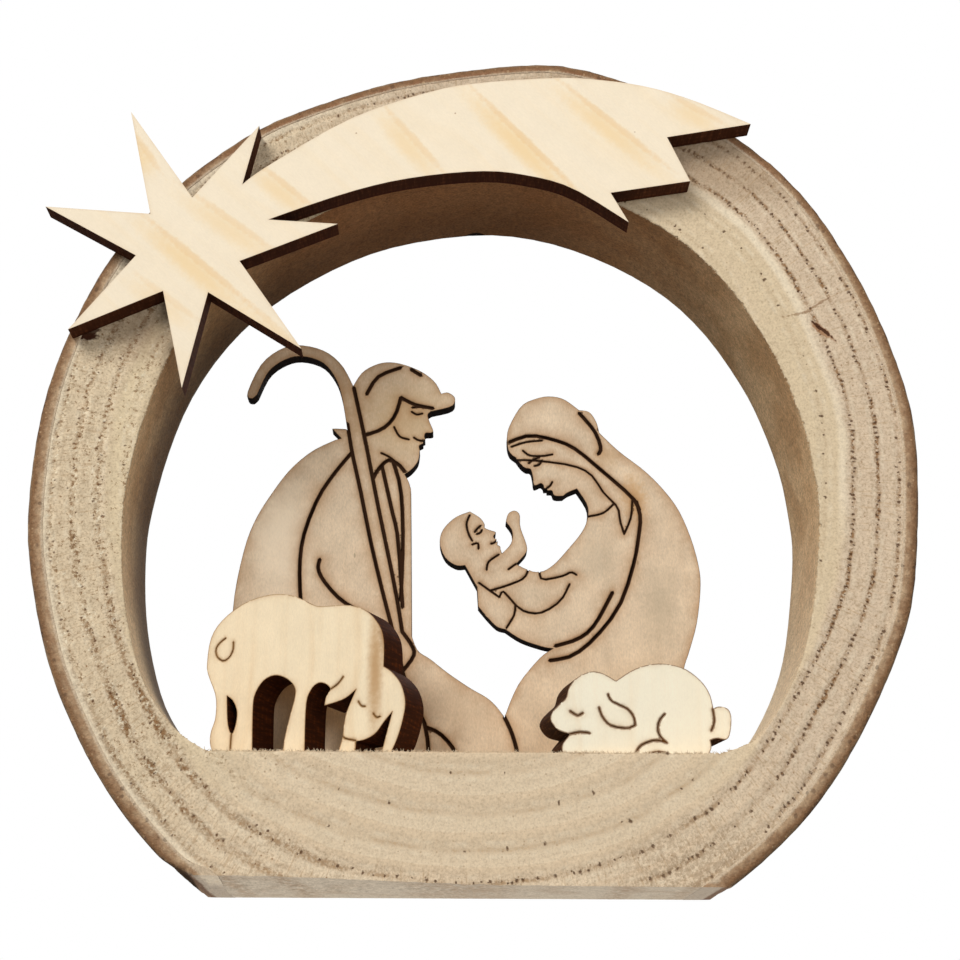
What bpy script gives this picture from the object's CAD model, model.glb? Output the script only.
# A nativity scene of laser-cut plywood in a hollowed slice of a log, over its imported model.
# Metres, +Z up, the front looks towards -Y. Sizes in the dictionaries are in millimetres.
import math
import random

import bmesh
import bpy
import numpy as np
from mathutils import Matrix, Vector, noise
from mathutils.kdtree import KDTree


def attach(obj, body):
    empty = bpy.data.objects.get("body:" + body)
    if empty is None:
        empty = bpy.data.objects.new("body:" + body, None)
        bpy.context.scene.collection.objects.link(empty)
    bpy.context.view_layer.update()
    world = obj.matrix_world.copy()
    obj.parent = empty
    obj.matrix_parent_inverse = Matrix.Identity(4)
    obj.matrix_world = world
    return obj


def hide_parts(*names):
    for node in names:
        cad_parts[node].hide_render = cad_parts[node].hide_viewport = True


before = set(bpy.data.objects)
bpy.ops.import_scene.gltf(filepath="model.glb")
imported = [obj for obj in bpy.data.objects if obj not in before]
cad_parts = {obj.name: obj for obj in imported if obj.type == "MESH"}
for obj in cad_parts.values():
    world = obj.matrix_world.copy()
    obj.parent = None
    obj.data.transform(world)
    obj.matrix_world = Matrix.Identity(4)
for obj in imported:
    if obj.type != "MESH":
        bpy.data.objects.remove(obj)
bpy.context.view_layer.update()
mm = 0.001
hair = 1e-3  # millimetres: nearer than this is the same
weldGap = 2e-6  # metres


# Node building

class Flow:  # what a shader node gives: it adds, multiplies and compares as a number does
    def __init__(self, socket):
        self.socket = socket
        self.tree = socket.id_data

    def __getitem__(self, name):  # another output of the same node
        return Flow(self.socket.node.outputs[name])

    def __add__(self, other):
        return maths("ADD", self, other)

    def __sub__(self, other):
        return maths("SUBTRACT", self, other)

    def __rsub__(self, other):
        return maths("SUBTRACT", other, self)

    def __mul__(self, other):
        return maths("MULTIPLY", self, other)

    def __truediv__(self, other):
        return maths("DIVIDE", self, other)

    def __lt__(self, other):
        return maths("LESS_THAN", self, other)

    def __gt__(self, other):
        return maths("GREATER_THAN", self, other)

    def __abs__(self):
        return maths("ABSOLUTE", self)


def paint(colour):  # a colour as it looks on a screen
    shares = [part / 255 for part in colour]
    return (*(((s + 0.055) / 1.055) ** 2.4 if s > 0.04 else s / 12.92 for s in shares), 1.0)


def put(tree, kind, sockets=None, **options):  # a new node, its sockets linked or set
    made = tree.nodes.new("ShaderNode" + kind)
    for name, value in options.items():
        setattr(made, name, value)
    for name, value in (sockets or {}).items():
        socket = made.inputs[name]
        if isinstance(value, Flow):
            send(value, socket)
        else:
            onScreen = socket.type == "RGBA" and len(value) == 3
            socket.default_value = paint(value) if onScreen else value
    return Flow(made.outputs[0])


def send(value, socket):
    value.tree.links.new(value.socket, socket)


def maths(operation, first, second=0.0, clamp=False):
    tree = (first if isinstance(first, Flow) else second).tree
    return put(tree, "Math", {0: first, 1: second}, operation=operation, use_clamp=clamp)


def smooth(value, start, end, low=0.0, high=1.0):  # eases from low to high between start and end
    reach = {"Value": value, "From Min": start, "From Max": end, "To Min": low, "To Max": high}
    return put(value.tree, "MapRange", reach, interpolation_type="SMOOTHSTEP")


def between(share, low, high):
    return smooth(share, 0.0, 1.0, low, high)


def mixed(share, first, second):
    return put(share.tree, "Mix", {0: share, 6: first, 7: second}, data_type="RGBA")[2]


def lit(colour, value):  # a colour made lighter by a share, or darker
    return put(colour.tree, "HueSaturation", {"Color": colour, "Value": value + 1.0})


def cloud(vector, scale, detail=2.0, roughness=0.5):
    look = {"Vector": vector, "Scale": scale, "Detail": detail, "Roughness": roughness}
    return put(vector.tree, "TexNoise", look)


def stretched(vector, scale=(1, 1, 1), turn=(0, 0, 0), shift=(0, 0, 0)):
    turn = [math.radians(angle) for angle in turn]
    way = {"Vector": vector, "Scale": scale, "Rotation": turn, "Location": shift}
    return put(vector.tree, "Mapping", way)


def parted(vector):  # its x, y and z
    whole = put(vector.tree, "SeparateXYZ", {0: vector})
    return [whole[i] for i in range(3)]


def length(vector):
    return put(vector.tree, "VectorMath", {0: vector}, operation="LENGTH")["Value"]


def millimetres(tree):  # the object's own coordinates, in millimetres
    place = put(tree, "TexCoord")["Object"]
    return put(tree, "VectorMath", {0: place, "Scale": 1000.0}, operation="SCALE")


def attribute(tree, name):
    return put(tree, "Attribute", attribute_name=name)


def newGroup(name, takes, gives):  # each has lists of sockets' names under their kinds
    tree = bpy.data.node_groups.new(name, "ShaderNodeTree")
    for way, kinds in (("INPUT", takes), ("OUTPUT", gives)):
        for kind, labels in kinds.items():
            for label in labels:
                tree.interface.new_socket(name=label, in_out=way, socket_type="NodeSocket" + kind)
    given = Flow(tree.nodes.new("NodeGroupInput").outputs[0])
    return tree, given, tree.nodes.new("NodeGroupOutput").inputs


def newMaterial(name):
    material = bpy.data.materials.new(name)
    material.use_nodes = True
    tree = material.node_tree
    tree.nodes.clear()
    surface = tree.nodes.new("ShaderNodeOutputMaterial").inputs["Surface"]
    return material, tree, surface


def newShader(name):
    material, tree, surface = newMaterial(name)
    shader = tree.nodes.new("ShaderNodeBsdfPrincipled")
    tree.links.new(shader.outputs[0], surface)
    return material, tree, shader.inputs


def finishShader(shader, colour, roughness, relief, strength, depth, shine):  # depth in metres
    bump = put(colour.tree, "Bump", {"Strength": strength, "Distance": depth, "Height": relief})
    for name, value in (("Base Color", colour), ("Roughness", roughness), ("Normal", bump)):
        send(value, shader[name])
    shader["Specular IOR Level"].default_value = shine


# Effects that several finishes use

def makeSpeckGroup():  # sparse small dark specks
    tree, given, result = newGroup(
        "specks", {"Vector": ["Vector"], "Float": ["Scale", "Size", "Share"]}, {"Float": ["Mask"]})
    cells = put(tree, "TexVoronoi", {"Vector": given["Vector"], "Scale": given["Scale"]})
    chance = put(tree, "SeparateColor", {0: cells["Color"]})
    few = chance[0] < given["Share"]
    size = given["Size"] * (chance[1] + 0.5)
    send(few * smooth(cells["Distance"], size, size * 0.5), result["Mask"])
    return tree


def makeSpotGroup():  # one soft-edged oval mark at a place, across a plane that faces -Y
    tree, given, result = newGroup(
        "spot", {"Vector": ["Vector", "Centre", "Half Size"], "Float": ["Turn", "Ragged", "Soft"]},
        {"Float": ["Mask"]})
    away = put(tree, "VectorMath", {0: given["Vector"], 1: given["Centre"]}, operation="SUBTRACT")
    turned = put(tree, "VectorRotate", {"Vector": away, "Angle": given["Turn"], "Axis": (0, 1, 0)})
    shares = put(tree, "VectorMath", {0: turned, 1: given["Half Size"]}, operation="DIVIDE")
    reach = length(shares)
    wobble = cloud(given["Vector"], 1.6, 3) - 0.5
    edge = reach + wobble * given["Ragged"]
    send(smooth(edge, 1.1, 1.1 - given["Soft"]), result["Mask"])
    return tree


def makeVeneerGroup():  # the face of a plywood sheet, its grain along Z
    tree, given, result = newGroup("veneer", {
        "Vector": ["Vector"], "Color": ["Pale", "Deep"],
        "Float": ["Band Width", "Band Strength", "Streak Strength", "Grit"],
    }, {"Color": ["Color"], "Float": ["Height"]})
    vector = given["Vector"]
    slow = cloud(stretched(vector, (0.07, 0.07, 0.03)), 1.0, 2)
    quick = cloud(stretched(vector, (0.3, 0.3, 0.12)), 1.0, 2)
    bend = (slow - 0.5) * 13.0 + (quick - 0.5) * 1.2
    across = parted(vector)[0] + bend
    phase = maths("FRACT", across / given["Band Width"])
    glow = smooth(phase, 0.3, 0.92)
    core = smooth(phase, 0.76, 0.9)
    line = (glow * 0.5 + core * 0.5) * smooth(phase, 1.0, 0.9)
    patchy = smooth(cloud(stretched(vector, (0.06, 0.06, 0.03), shift=(3, 7, 1)), 1.0, 2), 0.3, 0.6)
    band = line * given["Band Strength"] * patchy
    streaks = cloud(stretched(vector, (0.8, 0.8, 0.05)), 1.0, 4, 0.6)
    fine = cloud(stretched(vector, (4.4, 4.4, 1.8)), 1.0, 3, 0.75)
    blotch = cloud(vector, 0.25, 3)
    streak = smooth(streaks, 0.42, 0.75) * given["Streak Strength"]
    share = maths("ADD", band, streak * 0.6, clamp=True)
    grit = (fine - 0.5) * given["Grit"] + (blotch - 0.5) * given["Grit"] * 0.6
    send(lit(mixed(share, given["Pale"], given["Deep"]), grit), result["Color"])
    send(fine - share * 0.4, result["Height"])
    return tree


def makeScorchGroup():  # a laser's marks: scorched beside a cut, burnt in it
    tree, given, result = newGroup("scorch", {
        "Vector": ["Vector"], "Color": ["Sheet", "Halo Color", "Wall", "Wall Pale", "Groove"],
        "Float": ["Cut Distance", "Cut Face", "Halo", "Halo Strength", "Edge Width",
                  "Edge Strength", "Layer"],
    }, {"Color": ["Color"], "Float": ["Burnt"]})
    vector = given["Vector"]
    uneven = smooth(cloud(vector, 0.35, 3), 0.3, 0.7, 0.35, 1.3)
    away = given["Cut Distance"] / (given["Halo"] * uneven)
    halo = maths("EXPONENT", away * -1.0) * given["Halo Strength"]
    toasted = mixed(halo, given["Sheet"], given["Halo Color"])
    shaky = given["Edge Width"] * (cloud(vector, 2.5, 2) + 0.5)
    rim = smooth(given["Cut Distance"], shaky, shaky * 0.35) * given["Edge Strength"]
    faced = mixed(rim, toasted, given["Groove"])
    soot = cloud(stretched(vector, (3.0, 0.25, 3.0)), 1.0, 3, 0.6)
    plies = smooth(maths("SINE", given["Layer"] * 4.6), 0.2, 0.9)
    paleness = smooth(soot, 0.42, 0.72) * (plies * 0.6 + 0.4)
    walled = mixed(paleness, given["Wall"], given["Wall Pale"])
    isWall = given["Cut Face"] > 1.5
    isGroove = (given["Cut Face"] > 0.5) - isWall
    send(mixed(isWall, mixed(isGroove, faced, given["Groove"]), walled), result["Color"])
    send(maths("MAXIMUM", maths("MAXIMUM", isWall, isGroove), rim), result["Burnt"])
    return tree


speckGroup = makeSpeckGroup()
spotGroup = makeSpotGroup()
veneerGroup = makeVeneerGroup()
scorchGroup = makeScorchGroup()
print("effects made")


def speckled(place, scale, size, share):
    return put(place.tree, "Group", {"Vector": place, "Scale": scale, "Size": size, "Share": share},
               node_tree=speckGroup)


def addMarks(place, colour, marks):
    # middle, half the size, turn in degrees, how ragged and soft the edge is, strength, colour
    for middle, halfSize, turn, ragged, soft, strength, markColour in marks:
        spot = put(place.tree, "Group", {
            "Vector": place, "Centre": middle, "Half Size": halfSize, "Turn": math.radians(turn),
            "Ragged": ragged, "Soft": soft}, node_tree=spotGroup)
        colour = mixed(spot * strength, colour, markColour)
    return colour


# Mesh helpers

def mergedCopy(nodeName):  # a CAD node's loose triangles, joined
    mesh = bmesh.new()
    mesh.from_mesh(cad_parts[nodeName].data)
    bmesh.ops.remove_doubles(mesh, verts=mesh.verts, dist=1e-6)
    mesh.normal_update()
    return mesh


def frontLoops(nodeName, level):  # the closed lines round a node's flat face at one y, as x and z
    mesh = mergedCopy(nodeName)
    left = {e for e in mesh.edges if all(abs(v.co.y - level * mm) < 1e-6 for v in e.verts)
            and sum(abs(f.normal.y) > 0.9 for f in e.link_faces) == 1}
    loops = []
    while left:
        edge = left.pop()
        first, here = edge.verts
        loop = [first, here]
        while here is not first:
            edge = next(e for e in here.link_edges if e in left)
            left.discard(edge)
            here = edge.other_vert(here)
            loop.append(here)
        loops.append(np.array([(v.co.x / mm, v.co.z / mm) for v in loop[:-1]]))
    mesh.free()
    return loops


def overTheTop(loop, start):  # cuts a loop at start and at its next point as low, beyond the top
    loop = np.roll(loop, -int(np.argmin(np.linalg.norm(loop - start, axis=1))), axis=0)
    if loop[1][1] < loop[0][1] + 1e-4:
        loop = np.roll(loop[::-1], 1, axis=0)
    lowest = loop[0][1] + 1e-4
    end = next(i for i in range(1, len(loop)) if loop[i][1] < lowest)
    return loop[:end + 1], loop[end:]


def evenly(line, count):  # evenly spaced points along a line
    steps = np.linalg.norm(np.diff(line, axis=0), axis=1)
    along = np.concatenate([[0], np.cumsum(steps)])
    at = np.linspace(0, along[-1], count + 1)
    return np.column_stack([np.interp(at, along, line[:, 0]), np.interp(at, along, line[:, 1])])


def bentGrid(around, across, place):  # a flat grid whose corner (i, j) goes to place(i, j)
    mesh = bmesh.new()
    bmesh.ops.create_grid(mesh, x_segments=around, y_segments=across, size=0.5)
    for vertex in mesh.verts:
        i = round((vertex.co.x + 0.5) * around)
        j = round((vertex.co.y + 0.5) * across)
        vertex.co = place(i, j)
    return mesh


def finishPiece(mesh, name, nodeName, slotName, material, sharpAngle=35):
    mesh.normal_update()
    data = bpy.data.meshes.new(name)
    mesh.to_mesh(data)
    mesh.free()
    data.shade_smooth()
    data.set_sharp_from_angle(angle=math.radians(sharpAngle))
    data.materials.append(material)
    piece = bpy.data.objects.new(name, data)
    bpy.context.scene.collection.objects.link(piece)
    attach(piece, "root")
    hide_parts(nodeName)
    print(name, "made:", len(data.polygons), "faces")
    return piece


def wave(x, y, z, scale, depth=2):  # soft random waves from -1 to 1
    return noise.fractal(Vector((x, y, z)) * scale, 1.0, 2.0, depth, noise_basis="PERLIN_ORIGINAL")


# The slice of the log and its growth rings

logSlice = {
    "halfDepth": 12.0,
    "archSteps": 760,
    "footSteps": 140,
    "ridgeHeight": 0.16,
    "faceRoughness": 0.05,
    "baseRoughness": 0.015,
    "rimWear": 0.10,  # how much deeper the face is worn at the opening's edge
    "rimReach": 0.5,
    "ragged": 0.42,  # how far the saw tore the opening's front edge
    "tornReach": 0.5,  # how far behind the front the tear reaches
    "footWear": 1.15,  # the worn front edge of the base, at its left end
    "footNicks": 0.12,
    "middle": 62,  # the height of the opening's middle
    "pith": (0.0, 63.0),
    "radius": 65.0,
    "belowBase": [(30, -4.4), (20, -8), (10, -10), (0, -10.6),  # where the sawn-off bark would run
                  (-10, -10.1), (-20, -8.2), (-31, -4.6)],
    "rings": 12.0,
    "ringFall": 34.0,  # how slowly the rings widen inwards
    "fibres": 800,
    "fibreSpots": 4000,
    "fibreLength": (0.25, 0.65),
    "fibreRadius": 0.075,
    "tipRadius": 0.012,
}

sliceLoops = frontLoops("log_ring", -logSlice["halfDepth"])
woodLoop, openingLoop = sorted(sliceLoops, key=lambda loop: loop[:, 1].min())
barkLoop = frontLoops("bark", -logSlice["halfDepth"])[0]
barkRight = barkLoop[barkLoop[:, 1] < hair][:, 0].max()
barkOutside = overTheTop(barkLoop, (barkRight, 0))[0]
woodRight = woodLoop[woodLoop[:, 1] < hair][:, 0].max()
floorHeight = openingLoop[:, 1].min()
floorRight = openingLoop[openingLoop[:, 1] < floorHeight + hair][:, 0].max()


def makeGrowth(look):  # how deep a point lies in the log, from its outline scaled towards the pith
    outside = np.vstack([barkOutside, look["belowBase"]]) - look["pith"]
    angles = np.arctan2(outside[:, 1], outside[:, 0])
    order = np.argsort(angles)
    reaches = np.linalg.norm(outside, axis=1)[order]
    angles = angles[order]

    def growthAt(x, z):
        dx, dz = x - look["pith"][0], z - look["pith"][1]
        angle = math.atan2(dz, dx)
        reach = float(np.interp(angle, angles, reaches, period=2 * math.pi))
        c, s = math.cos(angle), math.sin(angle)
        depth = (1 - math.hypot(dx, dz) / reach) * look["radius"]
        broad = wave(c * 2.3, s * 2.3, depth * 0.06, 1.0)
        fine = wave(c * 14, s * 14, depth * 0.3, 1.0)
        depth += 0.7 * broad + 0.16 * fine
        count = look["rings"] * (1 - math.exp(-depth / look["ringFall"]))
        return (c * look["radius"], s * look["radius"], depth), count
    return growthAt


growthAt = makeGrowth(logSlice)


def ridge(count):  # the raised late wood of one growth ring
    phase = count % 1.0
    return max(0.0, 1 - abs(phase - 0.3) / 0.22)


def smoothStep(start, end, value):
    t = min(1.0, max(0.0, (value - start) / (end - start)))
    return t * t * (3 - 2 * t)


def wornBy(look, x, y, z):  # how far the front edge of the base is worn away upwards
    wear = look["footWear"] * smoothStep(8, -36, x)
    wear += look["footNicks"] * (1 + wave(x, 0, 0, 0.4, 3)) * smoothStep(30, 0, x)
    return wear * smoothStep(2, -look["halfDepth"], y) * (1 - smoothStep(0, 4, z))


def addFibres(mesh, look, edgeLine):  # torn fibres on the front edge of the opening
    tufts = bmesh.new()
    chance = random.Random(5)
    spots = evenly(edgeLine, look["fibreSpots"])
    for _ in range(look["fibres"]):
        x, z = spots[chance.randrange(len(spots))]
        onFloor = z < floorHeight + 0.5
        if not onFloor and chance.random() < 0.5:
            continue
        length = chance.uniform(*look["fibreLength"]) * (1 if onFloor else 0.6)
        sideways = chance.gauss(0, 0.9)
        upwards = chance.uniform(0.1, 0.9) if onFloor else chance.uniform(-0.2, 0.3)
        lean = Vector((sideways, -0.15, upwards))
        inward = Vector((-x, 0, look["middle"] - z)).normalized() * chance.uniform(0.0, 0.6)
        way = (lean + inward).normalized()
        root = Vector((x, -look["halfDepth"] + 0.3, z)) - way * 0.15
        turn = way.to_track_quat("Z", "Y").to_matrix().to_4x4()
        place = Matrix.Translation((root + way * length / 2) * mm) @ turn
        made = bmesh.ops.create_cone(tufts, segments=4, radius1=look["fibreRadius"] * mm,
                                     radius2=look["tipRadius"] * mm, depth=length * mm,
                                     cap_ends=True, matrix=place)
        bow = Vector((chance.gauss(0, 1), -0.2, chance.gauss(0, 1))) * 0.12 * length * mm
        for vertex in made["verts"]:
            if (vertex.co - root * mm).dot(way) > length * 0.6 * mm:
                vertex.co += bow
    loose = bpy.data.meshes.new("fibres")
    tufts.to_mesh(loose)
    tufts.free()
    mesh.from_mesh(loose)
    bpy.data.meshes.remove(loose)


def makeLogRing(look, material):
    half = look["halfDepth"]
    outerArch, outerFoot = overTheTop(woodLoop, (woodRight, 0))
    innerArch, innerFoot = overTheTop(openingLoop, (floorRight, floorHeight))
    steps = look["archSteps"], look["footSteps"]

    def closed(arch, foot):
        foot = np.vstack([foot, arch[:1]])
        return np.vstack([evenly(arch, steps[0])[:-1], evenly(foot, steps[1])])
    outer, inner = closed(outerArch, outerFoot), closed(innerArch, innerFoot)

    # each station is its share of the way from the bark to the opening, and its y
    near = [0.948, 0.963, 0.976, 0.986, 0.994]
    front = [(s, -half) for s in [0.006, *np.linspace(0.03, 0.93, 30), *near]]
    behind = [-half + 0.12, -half + 0.35, -half + 0.7]
    wall = [(1, y) for y in [*behind, *np.linspace(-half + 1.2, half - 0.3, 16)]]
    back = [(s, half) for s in np.linspace(0.985, 0.015, 20)]
    side = [(0, y) for y in [half - 0.15, *np.linspace(half - 1.5, -half + 1.5, 8), -half + 0.04]]
    stations = front + wall + back + side
    stations.append(stations[0])

    def sunk(x, y, z, share, fromEdge):  # how deep a face is worn: its late wood stands up
        count = growthAt(x, z)[1]
        depth = look["ridgeHeight"] * (1 - ridge(count)) * min(1, share / 0.05)
        rounded = look["rimWear"] * math.exp(-fromEdge / look["rimReach"])
        return depth + look["faceRoughness"] * (1 + wave(x, y, z, 1.7, 3)) + rounded

    def place(i, j):
        share, y = stations[j]
        a, b = outer[i], inner[i]
        width = np.linalg.norm(b - a)
        spot = a + (b - a) * share
        fromEdge = (1 - share) * width
        x, z = spot
        # the saw's torn edge round the front of the opening
        if share > 0.9 and y < 0:
            teeth = abs(wave(x, 3.1, z, 2.1, 2)) * 1.6 + 0.4 * wave(x, 8.4, z, 0.35, 2)
            onRight = smoothStep(-10, 40, x) * smoothStep(104, 84, z)
            tear = max(0.0, teeth - 0.1) * look["ragged"] * (0.4 + 0.6 * onRight)
            tear *= 0.2 + 0.8 * smoothStep(floorHeight + 0.3, floorHeight + 3, z)
            fade = math.exp(-fromEdge / 0.35) * math.exp(-(y + half) / look["tornReach"])
            spot += (a - b) / width * tear * fade
        if abs(y) == half:
            y -= math.copysign(sunk(x, y, z, share, fromEdge), y)
        elif half - abs(y) < 2:  # the sides start behind the worn face
            edge = sunk(x, math.copysign(half, y), z, share, fromEdge if share else width)
            y -= math.copysign(edge * math.exp((abs(y) - half) / 0.5), y)
        if spot[1] < 4:
            rise = wornBy(look, x, y, spot[1]) + look["baseRoughness"] * (1 + wave(x, y, 0, 1.5))
            spot = np.array([spot[0], spot[1] + rise])
        return Vector((spot[0], y, spot[1])) * mm

    mesh = bentGrid(steps[0] + steps[1], len(stations) - 1, place)
    bmesh.ops.remove_doubles(mesh, verts=mesh.verts, dist=weldGap)
    bmesh.ops.recalc_face_normals(mesh, faces=mesh.faces)
    sawn = mesh.faces.layers.float.new("sawnSide")
    mesh.normal_update()
    for face in mesh.faces:
        middle = face.calc_center_median() / mm
        if abs(face.normal.y) < 0.7:
            below = middle.z < 2 and face.normal.z < -0.7
            face[sawn] = 2.0 if below else float(abs(middle.y) < half - 0.5)
    addFibres(mesh, look, innerArch)
    addFibres(mesh, look, np.vstack([innerFoot, innerArch[:1]]))
    growth = mesh.verts.layers.float_vector.new("growth")
    rings = mesh.verts.layers.float.new("ringCount")
    for vertex in mesh.verts:
        vertex[growth], vertex[rings] = growthAt(vertex.co.x / mm, vertex.co.z / mm)
    return finishPiece(mesh, "logRing", "log_ring", "end_grain", material, 50)


ringLook = {
    "outer": (211, 189, 162),
    "inner": (218, 197, 163),
    "grain": (186, 158, 124),
    "leftTone": (234, 214, 176),
    "floor": (229, 209, 179),
    "floorBand": (219, 196, 165),
    "pore": (84, 54, 32),
    "poreLeft": (98, 62, 36),
    "fleck": (128, 90, 50),
    "cream": (248, 236, 208),
    "torn": (146, 108, 70),
    "pale": (238, 222, 194),
    "line": (166, 130, 88),
    "wall": (222, 188, 144),
    "wallDark": (202, 164, 120),
    "wallStain": (88, 60, 38),
    "wallPale": (228, 207, 174),
    "ceiling": (166, 114, 72),
    "base": (186, 171, 150),
    "baseLine": (150, 124, 98),
    "cambium": (3.3, 2.2),  # how deep in the log the pale young wood on the left lies
    "creamRidge": 11.2,  # how deep the pale ridge on the right lies
    "innerFrom": (10.2, 11.6),
    "ringStep": 3.3,  # how far apart the rows of pores are taken to be
    "poreScale": 1.25,
    "poreSize": (0.13, 0.3),
    "marks": [
        ((-51.0, -12, 82.4), (10, 8, 7), -14, 1.2, 1.0, 0.52, (132, 104, 78)),
        ((-59.6, -12, 81.7), (2.3, 8, 0.75), -4, 1.2, 0.4, 1.0, (66, 36, 22)),
        ((-58.4, -12, 82.2), (1.5, 8, 0.4), 22, 1.0, 0.4, 0.9, (72, 42, 26)),
        ((52.8, -12, 83.6), (2.4, 8, 0.62), -39, 1.4, 0.4, 0.75, (156, 106, 66)),
        ((52.8, -12, 83.8), (2.5, 8, 0.3), -40, 1.8, 0.4, 0.95, (70, 40, 24)),
        ((49.2, -12, 86.3), (2.2, 8, 0.2), 12, 3.0, 0.4, 0.6, (136, 98, 62)),
        ((52.6, -12, 88.1), (2.4, 8, 0.2), 32, 3.0, 0.4, 0.6, (136, 98, 62)),
        ((0, 11.6, 109), (1.7, 1.4, 3), 0, 0.3, 0.4, 1.0, (30, 18, 12)),
    ],
    "shade": (150, 122, 92),  # the grey wood under the comet's tail and at the lower right
}


def makeEndGrain(look):
    material, tree, shader = newShader("sawnEndGrain")
    place = millimetres(tree)
    growth = attribute(tree, "growth")["Vector"]
    side = attribute(tree, "sawnSide")["Fac"]
    across, upwards, depth = parted(growth)
    x, y, height = parted(place)
    mottle = cloud(place, 1.0, 4, 0.6)
    fuzz = cloud(place, 2.8, 3, 0.65)

    # how far a point is from the nearest row of early wood, in millimetres
    lowDown = smooth(upwards, -44, -58)
    leftSide = smooth(x, -5, -35)
    shake = (cloud(place, 0.7, 3) - 0.5) * between(lowDown, 0.2, 0.09)
    count = attribute(tree, "ringCount")["Fac"] + shake
    ring = maths("FLOOR", count + 0.5)
    wide = maths("EXPONENT", depth * (1 / logSlice["ringFall"]))
    spacing = wide * (logSlice["ringFall"] / logSlice["rings"])
    offRow = (count - ring) * spacing
    apart = abs(offRow)

    # the outer wood is pinkish and rough, the inner yellow and smoother, broad arcs under the floor
    uneven = (cloud(place, 0.12, 2) - 0.5) * 3.0
    innerZone = smooth(depth + uneven, *look["innerFrom"])
    tone = smooth(cloud(stretched(growth, (0.015, 0.015, 0.3)), 1.0, 2), 0.35, 0.65)
    colour = mixed(innerZone, look["outer"], look["inner"])
    colour = mixed(leftSide * 0.5, colour, look["leftTone"])
    arcs = mixed(smooth(offRow, -1.9, 1.9), look["floor"], look["floorBand"])
    colour = mixed(lowDown * 0.8, colour, arcs)
    colour = mixed(tone * 0.25, colour, look["floorBand"])
    grains = smooth(mottle, 0.5, 0.32, 0.0, 0.25) + smooth(fuzz, 0.5, 0.34, 0.0, 0.5)
    grains *= between(innerZone, 1.0, 0.5) * between(lowDown, 1.0, 0.7)
    colour = mixed(grains, colour, look["grain"])
    rays = cloud(stretched(growth, (3.0, 3.0, 0.3)), 1.0, 3, 0.6)
    colour = mixed(smooth(rays, 0.55, 0.65) * between(innerZone, 0.6, 0.15), colour, look["grain"])

    # each row has its own strength, and comes and goes along the ring
    rowChance = put(tree, "TexWhiteNoise", {"W": ring}, noise_dimensions="1D")["Value"]
    along = put(tree, "CombineXYZ", {0: across, 1: upwards, 2: ring * 40.0})
    patch = smooth(cloud(along, 0.16, 3), 0.36, 0.6)
    strength = smooth(depth, 15, 10.5, 0.14, 1.0) * between(lowDown, 1.0, 0.6)
    strength *= smooth(rowChance, 0.0, 0.7, 0.7, 1.1) * smooth(depth, 2.4, 2.8)
    torn = smooth(cloud(place, 1.8, 4, 0.7), 0.43, 0.55)
    reachOfTear = between(leftSide * smooth(height, 60, 25), 0.5, 1.0)
    tornRow = torn * smooth(apart, reachOfTear, reachOfTear * 0.2) * strength
    tornRow *= between(patch, 0.4, 1.0) * between(leftSide * smooth(height, 25, 45), 1.0, 0.55)
    colour = mixed(tornRow * 0.85, colour, look["torn"])
    ridgeRow = smooth(abs(apart - 0.8), 0.45, 0.05)
    ridgeRow *= smooth(cloud(along, 0.5, 3), 0.4, 0.65)
    colour = mixed(ridgeRow * 0.35, colour, look["pale"])
    edge = smooth(offRow, -0.9, 0.0, 0.0, 0.35) + smooth(apart, 0.4, 0.06, 0.0, 0.65)
    edge *= smooth(offRow, 0.4, 0.1) * lowDown
    edge *= smooth(fuzz, 0.35, 0.6) * smooth(mottle, 0.35, 0.55)
    colour = mixed(edge * patch * 0.5, colour, look["line"])
    cream = smooth(abs(depth + uneven * 0.3 - look["creamRidge"]), 0.95, 0.2)
    cream *= smooth(across, 28, 42) * smooth(height, 48, 60) * between(tone, 0.4, 0.75)
    colour = mixed(cream, colour, look["pale"])

    # the pores, one row of dots in the early wood of each ring
    turning = maths("ARCTAN2", across, upwards)
    around = turning * (logSlice["radius"] - ring * look["ringStep"]) + ring * 17.3
    cells = put(tree, "TexVoronoi", {"W": around, "Scale": look["poreScale"], "Randomness": 0.85},
                voronoi_dimensions="1D")
    dice = put(tree, "SeparateColor", {0: cells["Color"]})
    astray = offRow + (dice[2] - 0.5) * between(leftSide, 0.4, 1.3)
    sideways = cells["Distance"] * (1 / look["poreScale"])
    reach = length(put(tree, "CombineXYZ", {0: sideways, 1: astray * 0.8})) + (fuzz - 0.5) * 0.5
    size = between(dice[0], *look["poreSize"]) * between(leftSide, 1.0, 0.75)
    pore = smooth(reach, size, size * 0.3)
    often = strength * (patch * 0.4 + 0.7) * between(leftSide, 1.0, 0.6)
    pore *= dice[1] < often
    colour = mixed(pore * 0.85, colour, mixed(leftSide, look["pore"], look["poreLeft"]))
    specks = speckled(place, 1.3, 0.2, 0.16)
    specks *= between(innerZone, 0.65, 0.4) * between(leftSide, 1.0, 1.4)
    colour = mixed(specks, colour, look["torn"])
    jitter = put(tree, "CombineXYZ", {0: fuzz, 2: mottle})
    loose = put(tree, "VectorMath", {0: place, 1: jitter}, operation="ADD")
    flecked = leftSide * between(lowDown, 1.0, 0.35)
    scatter = cloud(stretched(loose, shift=(9, 4, 7)), 1.7, 4, 0.72)
    rowed = smooth(apart, 1.1, 0.2) * 0.06 + (cloud(place, 0.25, 2) - 0.5) * 0.16
    flecks = smooth(scatter - rowed, 0.395, 0.35)
    colour = mixed(flecks * flecked * 0.75, colour, look["fleck"])
    flecks = smooth(scatter + rowed, 0.635, 0.69)
    colour = mixed(flecks * flecked * 0.65, colour, look["cream"])
    cambium = smooth(depth, *look["cambium"]) * leftSide
    colour = mixed(cambium * 0.6, colour, look["pale"])

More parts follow.
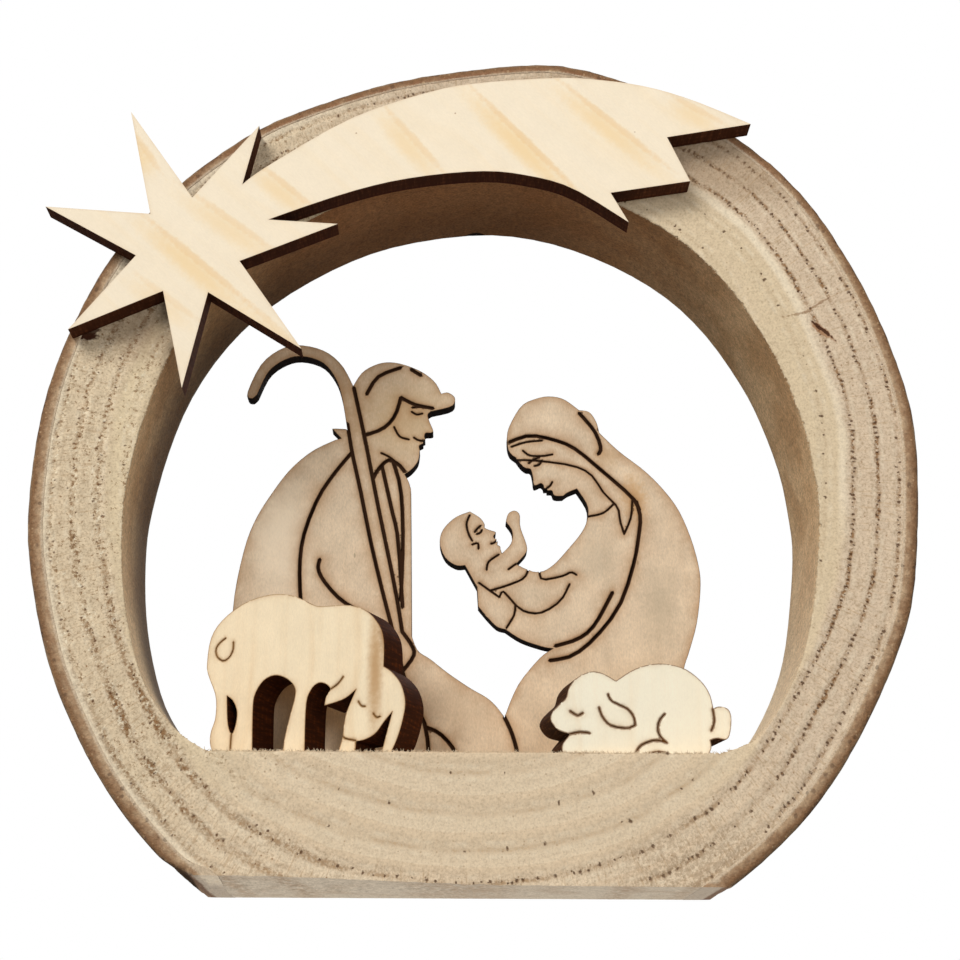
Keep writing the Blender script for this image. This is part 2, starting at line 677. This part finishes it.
    # light and shade of the torn surface
    value = ((mottle - 0.5) * 0.3 + (fuzz - 0.5) * 0.75) * between(innerZone, 1.0, 0.75)
    value += (cloud(place, 0.55, 3) - 0.5) * leftSide * 0.3
    shaded = smooth(x, 6, 22) * smooth(height, 102, 109)
    lowRight = smooth(x, 14, 30) * smooth(height, 12, 4) * torn
    colour = mixed(maths("MAXIMUM", shaded * 0.5, lowRight * 0.45), colour, look["shade"])
    value -= leftSide * (1.0 - lowDown) * 0.03
    value += (rays - 0.5) * 0.15
    ended = lit(colour, value)

    # the sawn wall of the opening and the base
    streaks = cloud(stretched(place, (0.8, 0.3, 0.8)), 1.0, 4, 0.65)
    smoke = cloud(place, 0.12, 3)
    walled = mixed(smooth(smoke, 0.35, 0.65), look["wall"], look["wallDark"])
    walled = mixed(smooth(height, 60, 24, 0.0, 0.75), walled, look["wallPale"])
    upHigh = smooth(height, 84, 104, 0.0, 0.85) * smooth(x, 34, 8, 0.6, 1.0)
    walled = mixed(upHigh, walled, look["ceiling"])
    stain = smooth(x, 0, -40) * smooth(y, -10, 8)
    sooty = smooth(height, 90, 106) * smooth(y, -9, 8) * smooth(x, 25, 5, 0.0, 0.45)
    stain = maths("MAXIMUM", stain * 0.8, sooty)
    walled = mixed(stain, walled, look["wallStain"])
    lines = smooth(apart, 0.9, 0.1) * smooth(cloud(place, 0.9, 3), 0.35, 0.6) * 0.6
    based = mixed(lines, look["base"], look["baseLine"])
    based = mixed(smooth(smoke, 0.5, 0.65) * 0.3, based, look["baseLine"])
    sawn = mixed(side > 1.5, walled, based)
    sawn = lit(sawn, (streaks - 0.5) * 0.3 + (fuzz - 0.5) * 1.5 + (mottle - 0.5) * 0.9)
    isWall = side > 0.5
    colour = addMarks(place, mixed(isWall, ended, sawn), look["marks"])

    relief = mottle * 0.6 + fuzz * 0.5
    relief -= (pore * 0.9 + tornRow * 0.5) * (1.0 - isWall)
    relief += streaks * isWall * 0.2
    finishShader(shader, colour, smooth(mottle, 0.2, 0.8, 0.78, 0.95), relief, 0.6, 0.00018, 0.12)
    return material


# The bark

barkSkin = {
    "alongSteps": 480,
    "rounding": 0.36,  # share of its thickness that its front and back edges are rounded by
    "roughness": 0.42,
    "furrow": 0.45,
    "edgeCalm": 0.14,  # how much of both is left at the front edge
    "faceUneven": 0.16,
}


def makeBark(look, material):
    half = logSlice["halfDepth"]
    outside, rest = overTheTop(barkLoop, (barkRight, 0))
    inside = rest[1:][::-1]
    outer = evenly(outside, look["alongSteps"])
    inner = evenly(inside, look["alongSteps"])
    r = look["rounding"]
    bends = [math.radians(a) for a in (15, 30, 45, 60, 75)]
    front = [(1.0, -half + 0.04), (0.98, -half), (0.8, -half), (r, -half)]
    front += [(r - r * math.sin(a), -half + 2 * r * (1 - math.cos(a))) for a in bends]
    flat = [(0.0, y) for y in np.linspace(-half + 2 * r, half - 2 * r, 34)]
    back = [(share, -y) for share, y in reversed(front)]
    hidden = [(1.0, y) for y in (half - 3, half / 2, 0, -half / 2, -half + 3)]
    stations = front + flat + back + hidden
    stations.append(stations[0])

    def place(i, j):
        share, y = stations[j]
        a, b = outer[i], inner[i]
        spot = a + (b - a) * share
        x, z = spot
        if share < 0.9:  # not on the hidden inside
            rough = look["roughness"] * (0.5 + 0.5 * wave(x, y * 0.45, z, 0.55, 4))
            furrow = look["furrow"] * smoothStep(0.15, 0.6, wave(x, y * 0.12, z, 0.32, 3))
            edgeCalm = look["edgeCalm"]
            calm = edgeCalm + (1 - edgeCalm) * smoothStep(half - 0.6, half - 4.5, abs(y))
            inward = (rough + furrow) * calm * (1 - share) / np.linalg.norm(b - a)
            spot += (b - a) * inward
            if abs(y) > half - 1.4:
                uneven = look["faceUneven"] * (1 + wave(x + 40, y, z, 0.5, 3))
                y -= math.copysign(uneven * smoothStep(0.9, 0.3, share), y)
        if i in (0, look["alongSteps"]):
            spot = np.array([spot[0], 0.0])
        return Vector((spot[0], y, spot[1] + wornBy(logSlice, x, y, max(0.0, spot[1])))) * mm

    mesh = bentGrid(look["alongSteps"], len(stations) - 1, place)
    bmesh.ops.remove_doubles(mesh, verts=mesh.verts, dist=weldGap)
    bmesh.ops.holes_fill(mesh, edges=[e for e in mesh.edges if e.is_boundary], sides=0)
    bmesh.ops.recalc_face_normals(mesh, faces=mesh.faces)
    skin = mesh.verts.layers.float.new("skinDepth")
    around = KDTree(len(outer))
    for i, (x, z) in enumerate(outer):
        around.insert((x, 0, z), i)
    around.balance()
    for vertex in mesh.verts:
        vertex[skin] = around.find((vertex.co.x / mm, 0, vertex.co.z / mm))[2]
    return finishPiece(mesh, "barkBand", "bark", "bark", material, 60)


barkLook = {
    "outer": (112, 84, 62),
    "outerPale": (156, 128, 98),
    "furrow": (70, 48, 34),
    "cut": (192, 162, 128),
    "cutDark": (164, 130, 98),
    "cutOuter": (134, 98, 66),
    "rust": (140, 88, 56),
    "bast": (224, 206, 178),
    "under": (172, 156, 136),
    "ochre": (206, 174, 134),
}


def makeBarkFinish(look):
    material, tree, shader = newShader("youngBark")
    place = millimetres(tree)
    skin = attribute(tree, "skinDepth")["Fac"]
    blotch = cloud(stretched(place, (0.22, 0.1, 0.22)), 1.0, 4, 0.6)
    grit = cloud(place, 1.6, 4, 0.65)
    fuzz = cloud(place, 4.0, 2, 0.6)
    furrows = cloud(stretched(place, (0.9, 0.18, 0.9)), 1.0, 4, 0.62)
    outside = mixed(smooth(blotch, 0.35, 0.65), look["outer"], look["outerPale"])
    outside = mixed(smooth(furrows, 0.5, 0.72, 0.0, 0.7), outside, look["furrow"])
    cut = mixed(smooth(cloud(place, 0.5, 4, 0.65), 0.38, 0.62), look["cut"], look["cutDark"])
    height = parted(place)[2]
    rusty = smooth(height, 95, 122) * smooth(blotch, 0.36, 0.54)
    cut = mixed(rusty * 0.75, cut, look["rust"])
    wavy = skin + (grit - 0.5) * 0.9
    cut = mixed(smooth(wavy, 1.9, 0.5), cut, look["cutOuter"])
    down = parted(put(tree, "NewGeometry")["Normal"])[2]
    under = mixed(smooth(wavy, 1.5, 1.0), look["under"], look["outer"])
    cut = mixed(smooth(down, -0.4, -0.8) * smooth(height, 2.2, 1.6), cut, under)
    colour = mixed(smooth(wavy, 0.2, 0.7), outside, cut)
    share = skin / smooth(height, 60, 125, 2.4, 1.7)
    bast = smooth(share + (fuzz - 0.5) * 0.3, 0.75, 0.95)
    bast *= smooth(height, 0.3, 0.8) * 0.6
    colour = mixed(bast, colour, look["bast"])
    flecks = speckled(place, 1.1, 0.35, 0.18)
    colour = mixed(flecks * 0.45, colour, look["furrow"])
    flecks = speckled(place, 1.5, 0.35, 0.25)
    colour = mixed(flecks * 0.4, colour, look["ochre"])
    tone = (grit - 0.5) * 0.8 + (fuzz - 0.5) * 0.7
    colour = lit(colour, tone)
    relief = grit + fuzz * 0.4 - furrows * 0.8
    finishShader(shader, colour, smooth(blotch, 0.3, 0.7, 0.7, 0.95), relief, 0.7, 0.0003, 0.25)
    return material


makeLogRing(logSlice, makeEndGrain(ringLook))
makeBark(barkSkin, makeBarkFinish(barkLook))


# The pieces cut from plywood sheet

def isFlat(face, levels):  # whether a face is one of the sheet's two sides
    away = min(abs(face.calc_center_median().y - level) for level in levels)
    return abs(face.normal.y) > 0.99 and away < weldGap


def refineSides(mesh, levels, longest):  # cuts the sheet's sides into small even triangles
    for _ in range(9):
        edges = [e for e in mesh.edges if e.calc_length() > longest * mm
                 and any(isFlat(f, levels) for f in e.link_faces)]
        if not edges:
            break
        bmesh.ops.subdivide_edges(mesh, edges=edges, cuts=1)
        bmesh.ops.triangulate(mesh, faces=[f for f in mesh.faces if len(f.verts) > 3])
        sides = [f for f in mesh.faces if isFlat(f, levels)]
        inside = [e for e in mesh.edges if all(isFlat(f, levels) for f in e.link_faces)]
        bmesh.ops.beautify_fill(mesh, faces=sides, edges=inside)


def markCuts(mesh, levels, grooveDepth):  # how far each point of the sheet's sides is from a cut
    near = mesh.verts.layers.float.new("cutDistance")
    kind = mesh.faces.layers.float.new("cutFace")
    front = min(levels)
    rims = [e for e in mesh.edges if sum(isFlat(f, levels) for f in e.link_faces) == 1]
    points = []
    for edge in rims:
        a, b = (v.co for v in edge.verts)
        count = max(1, int((b - a).length / (0.15 * mm)))
        points += [a.lerp(b, k / count) for k in range(count)]
    tree = KDTree(len(points))
    for i, point in enumerate(points):
        tree.insert(point, i)
    tree.balance()
    for face in mesh.faces:
        if not isFlat(face, levels):
            shallow = all(v.co.y < front + (grooveDepth + 0.05) * mm for v in face.verts)
            face[kind] = 1.0 if shallow else 2.0
    for vertex in mesh.verts:
        if all(isFlat(f, levels) for f in vertex.link_faces):
            vertex[near] = tree.find(vertex.co)[2] / mm


def openNarrowParts(mesh, levels):  # halves each inner edge that runs from cut to cut
    def allFlat(part):
        return all(isFlat(face, levels) for face in part.link_faces)
    inner = [e for e in mesh.edges if allFlat(e) and not any(allFlat(v) for v in e.verts)]
    bmesh.ops.subdivide_edges(mesh, edges=inner, cuts=1)
    bmesh.ops.triangulate(mesh, faces=[f for f in mesh.faces if len(f.verts) > 3])
    mesh.normal_update()


def thinGrooves(mesh, inset):  # brings the walls of the engraved lines closer together
    kind = mesh.faces.layers.float["cutFace"]
    moves = {}
    for face in mesh.faces:
        if face[kind] == 1.0 and abs(face.normal.y) < 0.5:
            for vertex in face.verts:
                moves[vertex] = moves.get(vertex, Vector()) + face.normal * face.calc_area()
    for vertex, way in moves.items():
        way.y = 0
        if way.length > 0 and all(face[kind] < 2.0 for face in vertex.link_faces):
            vertex.co += way.normalized() * inset * mm


def makeSheetPiece(look, material):
    mesh = mergedCopy(look["node"])
    own = Matrix.Rotation(math.radians(-look["turn"]), 3, "Z")
    bmesh.ops.rotate(mesh, verts=mesh.verts, cent=(0, 0, 0), matrix=own)
    bmesh.ops.dissolve_degenerate(mesh, edges=mesh.edges, dist=weldGap)
    mesh.normal_update()
    levels = min(v.co.y for v in mesh.verts), max(v.co.y for v in mesh.verts)
    refineSides(mesh, levels, look["longest"])
    mesh.normal_update()
    openNarrowParts(mesh, levels)
    markCuts(mesh, levels, look["grooveDepth"])
    thinGrooves(mesh, look["lineInset"])
    for vertex in mesh.verts:
        if abs(vertex.co.y - levels[0] - look["grooveDepth"] * mm) < 1e-5:
            vertex.co.y = levels[0] + look["lineDepth"] * mm
    bmesh.ops.rotate(mesh, verts=mesh.verts, cent=(0, 0, 0), matrix=own.inverted())
    return finishPiece(mesh, look["name"], look["node"], look["slot"], material, 28)


def makeSheetFinish(look):
    material, tree, shader = newShader(look["finish"])
    turned = {"Vector": millimetres(tree), "Angle": math.radians(-look["turn"]), "Axis": (0, 0, 1)}
    own = put(tree, "VectorRotate", turned)
    grained = stretched(own, turn=(0, look["grainTurn"], 0), shift=look["grainShift"])
    veneer = put(tree, "Group", {
        "Vector": grained, "Pale": look["pale"], "Deep": look["deep"],
        "Band Width": look["bandWidth"], "Band Strength": look["bandStrength"],
        "Streak Strength": look["streakStrength"], "Grit": look["grit"]}, node_tree=veneerGroup)
    colour = addMarks(own, veneer["Color"], look["marks"])
    front = look["frontAt"]
    for x, z, reach, turn, strength in look["bands"]:  # a soft glow beside a sharper core
        glowWidth, coreWidth, away = look["bandSizes"]
        tilt = math.radians(turn)
        beside = (x + away * math.sin(tilt), front, z - away * math.cos(tilt))
        glow = (beside, (reach, 1000, glowWidth), turn, 0.5, 1.0, 0.8 * strength, look["deep"])
        middle = (x, front, z)
        core = (middle, (reach, 1000, coreWidth), turn, 0.8, 0.7, 0.5 * strength, look["bandCore"])
        colour = addMarks(own, colour, [glow, core])
    drawnOut = stretched(grained, (1, 1, look["speckLength"]))
    specks = speckled(drawnOut, 0.45, look["speckSize"], look["speckShare"])
    colour = mixed(specks * 0.6, colour, look["speckColour"])
    burn = put(tree, "Group", {
        "Vector": own, "Sheet": colour, "Cut Distance": attribute(tree, "cutDistance")["Fac"],
        "Cut Face": attribute(tree, "cutFace")["Fac"], "Halo": look["halo"],
        "Halo Strength": look["haloStrength"], "Halo Color": look["haloColour"],
        "Edge Width": look["edgeWidth"], "Edge Strength": look["edgeStrength"],
        "Wall": look["wall"], "Wall Pale": look["wallPale"], "Groove": look["groove"],
        "Layer": parted(own)[1] - front}, node_tree=scorchGroup)
    roughness = between(burn["Burnt"], 0.62, 0.85)
    finishShader(shader, burn["Color"], roughness, veneer["Height"], 0.35, 0.00006, 0.12)
    return material


# frontAt is the y of a sheet's front once it is turned square, grooveDepth is how deep the model
# cuts the engraved lines, lineDepth and lineInset are how deep they stay and how much narrower they
# get, and halo and edge are the scorched strips beside a cut
comet = {
    "name": "cometStar", "node": "comet", "slot": "pale_plywood", "finish": "birchFace",
    "turn": 0.0, "frontAt": -16.0, "longest": 1.2,
    "grooveDepth": 0.0, "lineDepth": 0.0, "lineInset": 0.0,
    "grainTurn": 45.0, "grainShift": (4.0, 0.0, 0.0),
    "pale": (249, 233, 206), "deep": (246, 214, 160), "bandCore": (238, 198, 138),
    "bandWidth": 9.0, "bandStrength": 0.12, "streakStrength": 0.14, "grit": 0.14,
    "bands": [  # the veneer's brown bands: x and z of the middle, half the length, slope, strength
        (-42.3, 92.4, 15, -40.6, 0.9), (-37.3, 98.9, 12, -36, 0.65), (-46.8, 86.5, 8, -37, 0.5),
        (-51.0, 110.4, 5, -56, 0.8), (-29.3, 104.9, 8, -40, 0.75), (-30.3, 81.8, 8, -43, 0.5),
        (-9.9, 113, 9, -50, 0.7), (7.5, 112.9, 15, -47, 1.0), (21.1, 116, 14, -41.4, 0.85),
        (34.2, 118.6, 6, -31, 0.7)],
    "bandSizes": (2.2, 0.7, 1.5),  # half the glow's width, half the core's, how far apart they lie
    "speckSize": 0.07, "speckShare": 0.12, "speckLength": 1.0,
    "speckColour": (160, 112, 66), "marks": [],
    "halo": 0.18, "haloStrength": 0.25, "haloColour": (190, 146, 96),
    "edgeWidth": 0.04, "edgeStrength": 0.0,
    "wall": (74, 38, 20), "wallPale": (112, 66, 40), "groove": (70, 40, 24),
}

family = {
    "name": "holyFamily", "node": "holy_family", "slot": "tan_plywood", "finish": "tanFace",
    "turn": 0.0, "frontAt": 7.1, "longest": 0.6,
    "grooveDepth": 0.5, "lineDepth": 0.3, "lineInset": 0.06,
    "grainTurn": 1.5, "grainShift": (0.0, 0.0, 0.0),
    "pale": (222, 199, 169), "deep": (204, 178, 146),
    "bandWidth": 11.0, "bandStrength": 0.25, "streakStrength": 0.35, "grit": 0.65, "bands": [],
    "speckSize": 0.13, "speckShare": 0.25, "speckLength": 0.4,
    "speckColour": (146, 132, 110),
    "marks": [
        ((-30.5, 7.1, 56.0), (7, 1000, 15), 12, 0.5, 1.0, 0.6, (244, 226, 198)),
        ((-11.0, 7.1, 75.0), (11, 1000, 10), 0, 0.5, 1.0, 0.5, (190, 156, 106)),
        ((-26.0, 7.1, 79.0), (12, 1000, 10), 0, 0.5, 1.0, 0.55, (178, 138, 94)),
        ((25.4, 7.1, 62.2), (2.6, 1000, 5.0), 10, 1.0, 1.0, 0.6, (206, 158, 98)),
        ((29.1, 7.1, 44.5), (4.0, 1000, 9), 0, 1.0, 1.0, 0.4, (186, 168, 140)),
        ((19.3, 7.1, 52.5), (4.0, 1000, 5), 0, 1.0, 1.0, 0.35, (190, 174, 148)),
        ((26.0, 7.1, 33.0), (7, 1000, 4), 15, 1.0, 1.0, 0.35, (194, 164, 128)),
        ((-2.0, 7.1, 28.0), (9, 1000, 4), -25, 1.0, 1.0, 0.3, (196, 166, 132)),
        ((21.1, 7.1, 69.0), (3.0, 1000, 2.5), 0, 1.0, 1.0, 0.35, (196, 156, 106)),
    ],
    "halo": 0.95, "haloStrength": 0.62, "haloColour": (164, 114, 62),
    "edgeWidth": 0.1, "edgeStrength": 0.8,
    "wall": (26, 13, 7), "wallPale": (58, 36, 20), "groove": (52, 30, 14),
}

grazing = {
    "name": "grazingSheep", "node": "grazing_sheep",
    "slot": "pale_plywood", "finish": "grazingSheepFace",
    "turn": -21.5, "frontAt": -14.5, "longest": 0.6,
    "grooveDepth": 0.5, "lineDepth": 0.16, "lineInset": 0.11,
    "grainTurn": 0.0, "grainShift": (20.0, 0.0, 5.0),
    "pale": (245, 226, 192), "deep": (226, 194, 150),
    "bandWidth": 9.0, "bandStrength": 0.3, "streakStrength": 0.35, "grit": 0.24, "bands": [],
    "speckSize": 0.08, "speckShare": 0.1, "speckLength": 0.5,
    "speckColour": (170, 130, 90),
    "marks": [
        ((-9.9, -14.5, 31.0), (1.7, 1000, 13), 0, 0.4, 1.0, 0.75, (176, 126, 66)),
        ((-8.8, -14.5, 37.5), (1.0, 1000, 6), 4, 0.4, 1.0, 0.7, (138, 90, 44)),
    ],
    "halo": 0.3, "haloStrength": 0.5, "haloColour": (178, 128, 72),
    "edgeWidth": 0.15, "edgeStrength": 0.6,
    "wall": (60, 25, 6), "wallPale": (106, 52, 14), "groove": (142, 100, 48),
}

lying = {
    "name": "lyingSheep", "node": "lying_sheep", "slot": "pale_plywood", "finish": "lyingSheepFace",
    "turn": 10.3, "frontAt": 0.0, "longest": 0.6,
    "grooveDepth": 0.5, "lineDepth": 0.16, "lineInset": 0.11,
    "grainTurn": 0.0, "grainShift": (50.0, 0.0, 30.0),
    "pale": (255, 245, 219), "deep": (246, 221, 184),
    "bandWidth": 8.0, "bandStrength": 0.25, "streakStrength": 0.3, "grit": 0.15, "bands": [],
    "speckSize": 0.08, "speckShare": 0.1, "speckLength": 0.5,
    "speckColour": (180, 140, 96), "marks": [],
    "halo": 0.26, "haloStrength": 0.5, "haloColour": (184, 134, 80),
    "edgeWidth": 0.2, "edgeStrength": 0.75,
    "wall": (56, 30, 16), "wallPale": (104, 68, 38), "groove": (112, 72, 36),
}

for sheet in (comet, family, grazing, lying):
    makeSheetPiece(sheet, makeSheetFinish(sheet))


# Floor, light and camera

stand = {
    "colour": (240, 240, 240),
    "bounce": 0.3,  # how pale the floor is for the light that it throws back
    "size": 3.0,
    "gap": 0.05,  # how far it lies under the base, in millimetres
}


def makeFloor(look):
    mesh = bmesh.new()
    bmesh.ops.create_grid(mesh, x_segments=1, y_segments=1, size=look["size"])
    bmesh.ops.translate(mesh, verts=mesh.verts, vec=(0, 0, -look["gap"] * mm))
    data = bpy.data.meshes.new("floor")
    mesh.to_mesh(data)
    mesh.free()
    floor = bpy.data.objects.new("floor", data)
    bpy.context.scene.collection.objects.link(floor)
    material, tree, surface = newMaterial("paleFloor")
    cameraRay = put(tree, "LightPath")["Is Camera Ray"]
    colour = mixed(cameraRay, (look["bounce"],) * 3 + (1.0,), look["colour"])
    fromBelow = put(tree, "NewGeometry")["Backfacing"] * cameraRay
    # light passes through it under the base, so that the sawn underside is lit
    feet = barkLoop[barkLoop[:, 1] < hair][:, 0]
    place = parted(millimetres(tree))
    inside = abs(place[0] - (feet.min() + feet.max()) / 2) < (feet.max() - feet.min()) / 2
    inside *= abs(place[1]) < logSlice["halfDepth"]
    through = maths("MAXIMUM", fromBelow, inside * (1.0 - cameraRay))
    solid = put(tree, "BsdfDiffuse", {"Color": colour})
    clear = put(tree, "BsdfTransparent")
    send(put(tree, "MixShader", {0: through, 1: solid, 2: clear}), surface)
    data.materials.append(material)


lights = {  # metres and watts
    "lamps": {
        "key": {"at": (-0.80, -1.24, 1.0), "size": 0.84, "power": 20.0, "aim": (0, 0, 0.06)},
        "fill": {"at": (0.16, -0.50, 0.10), "size": 0.28, "power": 0.82, "aim": (0, 0, 0.05)},
        "back": {"at": (0.1, 0.9, 0.7), "size": 0.8, "power": 5.0, "aim": (0, 0, 0.06)},
        "below": {"at": (0.0, 0.06, -0.20), "size": 0.2, "power": 0.42, "aim": (0, 0, 0)},
    },
    "world": 0.24,
}


def makeLights(look):
    for name, lamp in look["lamps"].items():
        data = bpy.data.lights.new(name, "AREA")
        data.shape = "DISK"
        data.size = lamp["size"]
        data.energy = lamp["power"]
        light = bpy.data.objects.new(name, data)
        light.location = lamp["at"]
        way = Vector(lamp["aim"]) - Vector(lamp["at"])
        light.rotation_euler = way.to_track_quat("-Z", "Y").to_euler()
        bpy.context.scene.collection.objects.link(light)
    world = bpy.data.worlds.new("studio")
    world.use_nodes = True
    tree = world.node_tree
    tree.nodes.clear()
    strength = between(put(tree, "LightPath")["Is Camera Ray"], look["world"], 1.0)
    background = put(tree, "Background", {"Color": (1, 1, 1, 1), "Strength": strength})
    send(background, tree.nodes.new("ShaderNodeOutputWorld").inputs["Surface"])
    bpy.context.scene.world = world


viewpoint = {
    "at": (-3.547, -286.444, -22.002),
    "up": 16.5,  # this and the next two in degrees
    "right": 0.857,
    "roll": 0.22,
    "lens": 72.15,
}


def makeCamera(look):
    data = bpy.data.cameras.new("camera")
    data.sensor_width = 36.0
    data.lens = look["lens"]
    camera = bpy.data.objects.new("camera", data)
    tilt, yaw, roll = (math.radians(look[k]) for k in ("up", "right", "roll"))
    ahead = Vector((math.sin(yaw) * math.cos(tilt), math.cos(yaw) * math.cos(tilt), math.sin(tilt)))
    level = Vector((math.cos(yaw), -math.sin(yaw), 0))
    above = level.cross(ahead)
    right = level * math.cos(roll) + above * math.sin(roll)
    upward = above * math.cos(roll) - level * math.sin(roll)
    turn = Matrix((right, upward, -ahead)).transposed()
    camera.matrix_world = Matrix.Translation(Vector(look["at"]) * mm) @ turn.to_4x4()
    data.clip_start = 0.01
    bpy.context.scene.collection.objects.link(camera)
    bpy.context.scene.camera = camera


makeFloor(stand)
makeLights(lights)
makeCamera(viewpoint)
bpy.context.scene.view_settings.view_transform = "Standard"
print("floor, light and camera made")
